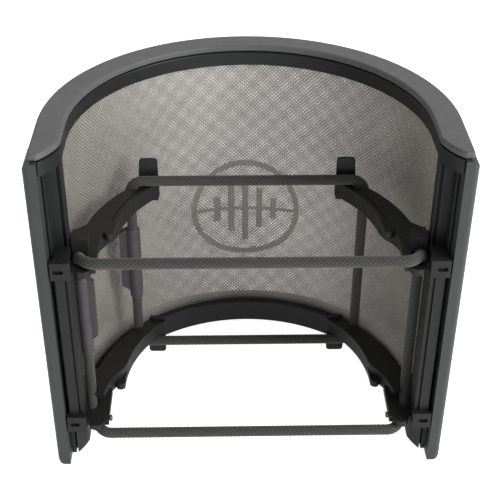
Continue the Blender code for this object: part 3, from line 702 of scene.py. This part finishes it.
def make_screws():
    x, y = POST_SCREW_PLACE
    for side, hand in ((-1, "left"), (1, "right")):
        x_here, shank = side * x, POST_SCREW_SHANK
        top, bottom = (x_here, y, FRAME_HIGH.z - 0.3), (x_here, y, 2.3)
        make_screw(f"{hand}_top_screw", "shell", top, (x_here, y, 90), shank, 11.0)
        make_screw(f"{hand}_bottom_screw", "shell", bottom, (x_here, y, 30), shank, 19.0)
        for upper, where in ((True, "upper"), (False, "lower")):
            z = level(ARM_SCREW_Z, upper)
            head, tip = (side * 43.6, ARM_SCREW_Y, z), (side * 56, ARM_SCREW_Y, z)
            make_screw(f"{hand}_{where}_arm_screw", "cradle", head, tip, ARM_SCREW_SHANK, 10.5)


def make_sleeve(name, x, y, way, reach, marks):
    """A joint sleeve: a wide part with chamfered ends and a lobe on one side, and a narrower collar below."""
    high, low, end = marks
    wide, narrow, bore = SLEEVE_WIDE, SLEEVE_NARROW, CORD_RADIUS + 0.05
    rows = [(narrow - 0.25, end), (narrow, end + 0.3), (narrow, low - 0.6), (wide, low), (wide, high - 0.7)]
    rows += [(wide - 0.5, high)]
    solid = lathe(rows, 48)
    solid.transform(Matrix.Translation(place(x, y, 0)) @ Matrix.Scale(MM, 4))
    bmesh.ops.recalc_face_normals(solid, faces=solid.faces)
    sleeve = raw_object(f"{name}_moulding", solid)
    near, far = x + way * (wide - 0.1), x + way * reach
    lobe = [(x, low + 1.0), (near, low + 0.6), (far, low + 2.0)]
    lobe += [(far, high - 2.0), (near, high - 0.5), (x, high - 0.5)]
    combine(sleeve, slab(lobe, y - SLEEVE_LOBE, y + SLEEVE_LOBE))
    soften(sleeve, 0.2, 3)
    cut(sleeve, prism(circle(bore, (x, y), 48), end - 1, high + 1))
    smooth(sleeve)
    finish_piece(sleeve, "cradle", "rubber", name)


# ---------------------------------------------------------------- braided loops

CORD_SIDES, CORD_STEP = 44, 0.22
BRAID_AROUND, BRAID_CELL, BRAID_DEPTH = 8, 1.35, 0.2  # strands round the cord, strand length and relief


def braid_relief(u, v):
    """Height from 0 to 1 of a diamond braid, u and v in strand widths."""
    a, b = u + v, u - v
    fa, fb = a - np.floor(a), b - np.floor(b)
    even = (np.floor(a) + np.floor(b)) % 2 < 1
    across, along = np.where(even, fb, fa), np.where(even, fa, fb)
    ridge = 1 - np.abs(2 * across - 1) ** 2.5
    return ridge * (1 - 0.45 * np.abs(2 * along - 1) ** 3)


def resample(points, step):
    """Points every step millimetres along the polyline, as an array."""
    points = np.array(points, float)
    gaps = np.linalg.norm(np.diff(points, axis=0), axis=1)
    keep = np.concatenate([[True], gaps > 1e-6])
    points = points[keep]
    run = np.concatenate([[0], np.cumsum(np.linalg.norm(np.diff(points, axis=0), axis=1))])
    count = int(round(run[-1] / step))
    wanted = np.linspace(0, run[-1], count + 1)
    return np.stack([np.interp(wanted, run, points[:, axis]) for axis in range(3)], 1), wanted


def cord_rings(points, along):
    """Rings of points round the path, with the braid's relief."""
    tangent = np.gradient(points, axis=0)
    tangent /= np.linalg.norm(tangent, axis=1, keepdims=True)
    normal = np.empty_like(points)
    start = np.array([0.0, 1.0, 0.0])
    for i, direction in enumerate(tangent):
        start = start - direction * np.dot(start, direction)
        start /= np.linalg.norm(start)
        normal[i] = start
    other = np.cross(tangent, normal)
    turn = 2 * np.pi * np.arange(CORD_SIDES) / CORD_SIDES
    u = turn[None, :] / (2 * np.pi) * BRAID_AROUND
    v = along[:, None] / BRAID_CELL
    relief = braid_relief(u, v)
    radius = CORD_RADIUS - BRAID_DEPTH + BRAID_DEPTH * relief
    offset = np.cos(turn)[None, :, None] * normal[:, None, :]
    offset = offset + np.sin(turn)[None, :, None] * other[:, None, :]
    return points[:, None, :] + radius[:, :, None] * offset, relief


def mesh_from(name, points, quads, caps, values=None):
    """An object from plan coordinates, quads and end faces, with an optional value for each vertex."""
    mesh = bpy.data.meshes.new(name)
    world = points * MM
    world[:, 1] += PLAN_Y
    mesh.vertices.add(len(world))
    mesh.vertices.foreach_set("co", world.astype(np.float32).ravel())
    loops = np.concatenate([quads.ravel(), caps.ravel()])
    sizes = np.concatenate([np.full(len(quads), 4), np.full(len(caps), caps.shape[1])])
    starts = np.concatenate([[0], np.cumsum(sizes)[:-1]])
    mesh.loops.add(len(loops))
    mesh.loops.foreach_set("vertex_index", loops.astype(np.int32))
    mesh.polygons.add(len(sizes))
    mesh.polygons.foreach_set("loop_start", starts.astype(np.int32))
    mesh.polygons.foreach_set("loop_total", sizes.astype(np.int32))
    mesh.update(calc_edges=True)
    if values is not None:
        mesh.attributes.new("relief", "FLOAT", "POINT").data.foreach_set("value", values.astype(np.float32))
    mesh.shade_smooth()
    mesh.set_sharp_from_angle(angle=math.radians(70))
    piece = bpy.data.objects.new(name, mesh)
    bpy.context.scene.collection.objects.link(piece)
    return piece


def cord_piece(name, rings, relief, first, last):
    """The stretch of a loop between two of its rings, closed at both ends."""
    count, sides = last - first + 1, CORD_SIDES
    i = np.arange(count - 1)[:, None] * sides
    k = np.arange(sides)[None, :]
    m = (k + 1) % sides
    quads = np.stack([i + k, i + m, i + sides + m, i + sides + k], 2).reshape(-1, 4)
    caps = np.stack([np.arange(sides)[::-1], (count - 1) * sides + np.arange(sides)])
    points = rings[first : last + 1].reshape(-1, 3)
    return mesh_from(name, points.copy(), quads, caps, relief[first : last + 1].ravel())


def make_loop(word, y, run_x, route):
    """A whole loop as one continuous braid: its right side, the left one in two parts, and half runs."""
    left, right = route(-1), route(1)
    join = len(left) // 2
    whole = left[: join + 1][::-1]
    whole += right + left[::-1][: len(left) - join]
    points, along = resample(whole, CORD_STEP)
    rings, relief = cord_rings(points, along)
    in_upper_half = points[:, 2] > LOOP_MIDDLE

    def nearest(x, upper):
        """The point on a straight run, upper or lower, that is nearest to x."""
        miss = np.abs(points[:, 0] - x) + 1000 * (in_upper_half != upper) + 10 * np.abs(points[:, 1] - y)
        miss += 10 * np.abs(points[:, 2] - (LOOP_HIGH if upper else LOOP_LOW))
        return int(np.argmin(miss))

    marks = [0, nearest(-run_x, True), nearest(0, True), nearest(run_x, True)]
    marks += [nearest(run_x, False), nearest(0, False), nearest(-run_x, False), len(points) - 1]
    sides = (("left_upper_part", 0, 1), ("right_side", 3, 4), ("left_lower_part", 6, 7))
    for part, a, b in sides:
        piece = cord_piece(f"{word}_loop_{part}", rings, relief, marks[a], marks[b])
        node = "left" if part.startswith("left") else "right"
        finish_piece(piece, "cradle", "cord", f"{word}_cord_{node}_side")
    halves = (("upper", "left", 1, 2, -1), ("upper", "right", 2, 3, 1))
    halves += (("lower", "right", 4, 5, 1), ("lower", "left", 5, 6, -1))
    for where, hand, a, b, side in halves:
        piece = cord_piece(f"{word}_loop_{where}_{hand}_half", rings, relief, marks[a], marks[b])
        finish_piece(piece, None, "cord", f"{word}_cord_{where}_run")
        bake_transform(piece)


# ---------------------------------------------------------------- wire cloth

WIRE_SIDES = 3
INNER_WEAVE = (0.9, 0.24, 0.07)  # pitch, wire radius and wave of the inner, woven layer
OUTER_WEAVE = (0.32, 0.085, 0.09)  # the same for the finer outer layer, whose families lie on each other
SHEET_MIDDLE = 0.2  # from a CAD sheet's outer face to its middle
LOW_MARGIN, HIGH_MARGIN = 0.5, 0.3  # how far the wires stop inside the sheet's lower and upper edges
CLOTH_TUCK = 0.9  # how far the cloth runs on past the CAD sheet's front edges, up to the posts


def on_wall(along, out, front, radius):
    """Plan X and Y on the U-shaped wall, along millimetres from its left front end at a distance out."""
    half = math.pi / 2 * radius
    from_middle = along - (half - front)
    turn = np.clip(from_middle / radius, -math.pi / 2, math.pi / 2)
    past = np.maximum(0.0, np.abs(from_middle) - half)
    return out * np.sin(turn), out * np.cos(turn) - past


def slanting_wires(width, height, pitch, slope):
    """Each wire of one 45-degree family as places along the wall, heights and crossing numbers."""
    spacing = pitch * math.sqrt(2)
    step = spacing / 2
    first = -math.ceil(height / spacing) if slope > 0 else 0
    last = math.floor((width if slope > 0 else width + height) / spacing)
    for number in range(first, last + 1):
        crossing = number * spacing
        ends = sorted((crossing, crossing + slope * height))
        index = np.arange(math.ceil(max(0.0, ends[0]) / step), math.floor(min(width, ends[1]) / step) + 1)
        if len(index) > 2:
            yield index * step, (index * step - crossing) * slope, index


def laid_wires(width, height, pitch, slope):
    """The same for straight wires, which stay on one side of the layer."""
    spacing, stride = pitch * math.sqrt(2), 2.5
    first = -math.ceil(height / spacing) if slope > 0 else 0
    last = math.floor((width if slope > 0 else width + height) / spacing)
    for number in range(first, last + 1):
        crossing = number * spacing
        ends = sorted((crossing, crossing + slope * height))
        start, end = max(0.0, ends[0]), min(width, ends[1])
        if end - start > 1.0:
            along = np.linspace(start, end, math.ceil((end - start) / stride) + 2)
            yield along, (along - crossing) * slope, np.zeros(len(along), int)


def make_weave(node, word, radius, front, low, high, weave, wires, look):
    """A layer of cloth: two crossing families of wires, each as one piece."""
    pitch, thick, wave_height = weave
    width, height = math.pi * radius - 2 * front, high - low
    for slope, family in ((1.0, "first"), (-1.0, "second")):
        blocks, quads, caps, count = [], [], [], 0
        for along, up, index in wires(width, height, pitch, slope):
            wave = slope * wave_height * np.where(index % 2 == 0, 1.0, -1.0)
            x, y = on_wall(along, radius + wave, front, radius)
            outer_x, outer_y = on_wall(along, radius + wave + 1, front, radius)
            centre = np.stack([x, y, low + up], 1)
            outward = np.stack([outer_x - x, outer_y - y, np.zeros_like(x)], 1)
            tangent = np.gradient(centre, axis=0)
            tangent /= np.linalg.norm(tangent, axis=1, keepdims=True)
            sideways = np.cross(tangent, outward)
            rings = []
            for k in range(WIRE_SIDES):
                turn = 2 * math.pi * k / WIRE_SIDES
                rings.append(centre + thick * (math.cos(turn) * outward + math.sin(turn) * sideways))
            blocks.append(np.stack(rings, 1).reshape(-1, 3))
            rows = len(index)
            i = np.arange(rows - 1)[:, None] * WIRE_SIDES + count
            k = np.arange(WIRE_SIDES)[None, :]
            m = (k + 1) % WIRE_SIDES
            quads.append(np.stack([i + k, i + WIRE_SIDES + k, i + WIRE_SIDES + m, i + m], 2).reshape(-1, 4))
            end = np.arange(WIRE_SIDES) + count
            caps += [end, end[::-1] + (rows - 1) * WIRE_SIDES]
            count += rows * WIRE_SIDES
        name = f"{word}_weave_{family}_wires"
        piece = mesh_from(name, np.concatenate(blocks), np.concatenate(quads), np.array(caps))
        finish_piece(piece, "shell", look, node)


# ---------------------------------------------------------------- badge


def make_badge():
    """A generic mark: a ring with five upright bars on a level line, bent to the outer layer."""
    low, high = limits("badge")
    middle, outer = (low.z + high.z) / 2, (high.z - low.z) / 2
    line, near, far = 1.9, 56.9, 57.55
    inner = outer - line

    def bent(u, v, radius):
        turn = u / near
        return place(radius * math.sin(turn), radius * math.cos(turn), middle + v)

    def strip(edges, closed):
        solid = bmesh.new()
        rows = []
        for a, b in edges:
            ring = ((a, near), (b, near), (b, far), (a, far))
            rows.append([solid.verts.new(bent(*point, radius)) for point, radius in ring])
        for i in range(len(rows) if closed else len(rows) - 1):
            here, there = rows[i], rows[(i + 1) % len(rows)]
            for k in range(4):
                m = (k + 1) % 4
                solid.faces.new((here[k], here[m], there[m], there[k]))
        if not closed:
            solid.faces.new(rows[0])
            solid.faces.new(rows[-1])
        bmesh.ops.recalc_face_normals(solid, faces=solid.faces)
        return solid

    sides = 128
    edges = list(zip(circle(inner, sides=sides), circle(outer, sides=sides)))
    badge = raw_object("badge_plate", strip(edges, True))
    reach = outer - line / 2
    across = [reach * (2 * i / 48 - 1) for i in range(49)]
    combine(badge, strip([((u, -0.5), (u, 0.5)) for u in across], False))
    for where, half in ((-10.0, 5.0), (-5.0, 9.5), (0.0, 13.5), (5.0, 8.0), (10.0, 4.0)):
        bar = [((where + u, -half), (where + u, half)) for u in (-1.1, -0.4, 0.4, 1.1)]
        combine(badge, strip(bar, False))
    smooth(badge)
    finish_piece(badge, "shell", "badge", "badge")


# ---------------------------------------------------------------- studio

FLOOR_GLOW, WORLD_LIGHT = 0.3, 0.36  # how strongly the floor and the world light the object


def make_floor():
    mesh = bpy.data.meshes.new("studio_floor")
    mesh.from_pydata([(-4, -4, 0), (4, -4, 0), (4, 4, 0), (-4, 4, 0)], [], [(0, 1, 2, 3)])
    floor = bpy.data.objects.new("studio_floor", mesh)
    bpy.context.scene.collection.objects.link(floor)
    made = Shader("studio floor", 0.9)
    made.colour(made.ramp(made.noise(400.0), (0.88, 0.88, 0.88), (0.9, 0.9, 0.9)))
    made.main.inputs["Emission Color"].default_value = (1, 1, 1, 1)
    # Near white to the camera, dimmer as a light
    ray, glow = made.nodes.new("ShaderNodeLightPath"), made.nodes.new("ShaderNodeMapRange")
    glow.inputs["To Min"].default_value = FLOOR_GLOW
    glow.inputs["To Max"].default_value = 0.95
    made.link(ray.outputs["Is Camera Ray"], glow.inputs["Value"])
    made.link(glow.outputs["Result"], made.main.inputs["Emission Strength"])
    mesh.materials.append(made.material)


def make_light(name, where, target, size, energy):
    data = bpy.data.lights.new(name, "AREA")
    data.shape = "RECTANGLE"
    data.size, data.size_y = size
    data.energy = energy
    lamp = bpy.data.objects.new(name, data)
    bpy.context.scene.collection.objects.link(lamp)
    lamp.location = where
    lamp.rotation_euler = (Vector(target) - Vector(where)).to_track_quat("-Z", "Y").to_euler()
    lamp.visible_camera = False


def make_world():
    """A world that is white to the camera and dimmer as a light, so that the blacks stay deep."""
    world = bpy.data.worlds.new("studio")
    bpy.context.scene.world = world
    world.use_nodes = True
    nodes, links = world.node_tree.nodes, world.node_tree.links
    seen, ray = nodes["Background"], nodes.new("ShaderNodeLightPath")
    dim, mix = nodes.new("ShaderNodeBackground"), nodes.new("ShaderNodeMixShader")
    seen.inputs["Color"].default_value = (1, 1, 1, 1)
    seen.inputs["Strength"].default_value = 1.05
    dim.inputs["Color"].default_value = (1, 1, 1, 1)
    dim.inputs["Strength"].default_value = WORLD_LIGHT
    links.new(ray.outputs["Is Camera Ray"], mix.inputs["Fac"])
    links.new(dim.outputs["Background"], mix.inputs[1])
    links.new(seen.outputs["Background"], mix.inputs[2])
    links.new(mix.outputs["Shader"], nodes["World Output"].inputs["Surface"])


def make_camera():
    data = bpy.data.cameras.new("photo_camera")
    data.lens, data.sensor_width = CAMERA_LENS, CAMERA_SENSOR
    data.clip_start, data.clip_end = 0.01, 20
    camera = bpy.data.objects.new("photo_camera", data)
    bpy.context.scene.collection.objects.link(camera)
    pitch, yaw, roll = CAMERA_PITCH, CAMERA_YAW, CAMERA_ROLL
    ahead = Vector((math.sin(yaw) * math.cos(pitch), math.cos(yaw) * math.cos(pitch), -math.sin(pitch)))
    right = Vector((math.cos(yaw), -math.sin(yaw), 0))
    up = right.cross(ahead)
    across = math.cos(roll) * right + math.sin(roll) * up
    upward = -math.sin(roll) * right + math.cos(roll) * up
    turn = Matrix((across, upward, -ahead)).transposed()
    camera.matrix_world = Matrix.Translation(place(*CAMERA_PLACE)) @ turn.to_4x4()
    bpy.context.scene.camera = camera


# ---------------------------------------------------------------- scene

make_cap()
make_top_frame()
make_bottom_frame()
make_rings()
make_trims()
make_posts()
for hand_side, hand_word in ((-1, "left"), (1, "right")):
    make_spine(hand_side, hand_word)
    for is_upper in (True, False):
        make_arm(hand_side, hand_word, is_upper)
        make_clip(hand_side, hand_word, is_upper)
make_screws()
make_sleeve("front_sleeve", -UPRIGHT_X, UPRIGHT_Y, 1, 3.8, (63.6, 39.6, 34.2))
make_sleeve("rear_sleeve", -REAR_LOOP_X, REAR_LOOP_Y, -1, 4.6, (60.0, 35.0, 32.4))
make_loop("front", FRONT_LOOP_Y, FRONT_RUN_X, front_side)
make_loop("rear", REAR_LOOP_Y, REAR_RUN_X, rear_side)
for mesh_word, mesh_radius, mesh_weave, mesh_wires, mesh_look in (
    ("inner", INNER_HIGH.x - SHEET_MIDDLE, INNER_WEAVE, slanting_wires, "wire"),
    ("outer", OUTER_HIGH.x - SHEET_MIDDLE, OUTER_WEAVE, laid_wires, "fine wire"),
):
    span = (INNER_LOW.y - CLOTH_TUCK, INNER_LOW.z + LOW_MARGIN, INNER_HIGH.z - HIGH_MARGIN)
    make_weave(f"{mesh_word}_mesh", mesh_word, mesh_radius, *span, mesh_weave, mesh_wires, mesh_look)
make_badge()

make_floor()
make_light("key_light", (0.8, -0.5, 0.5), (0, 0, 0.05), (0.6, 0.6), 10.0)
make_light("back_light", (0.0, 0.9, 0.75), (0, 0, 0.08), (1.2, 0.5), 2.5)
make_world()
make_camera()
bpy.context.scene.view_settings.view_transform = "Standard"
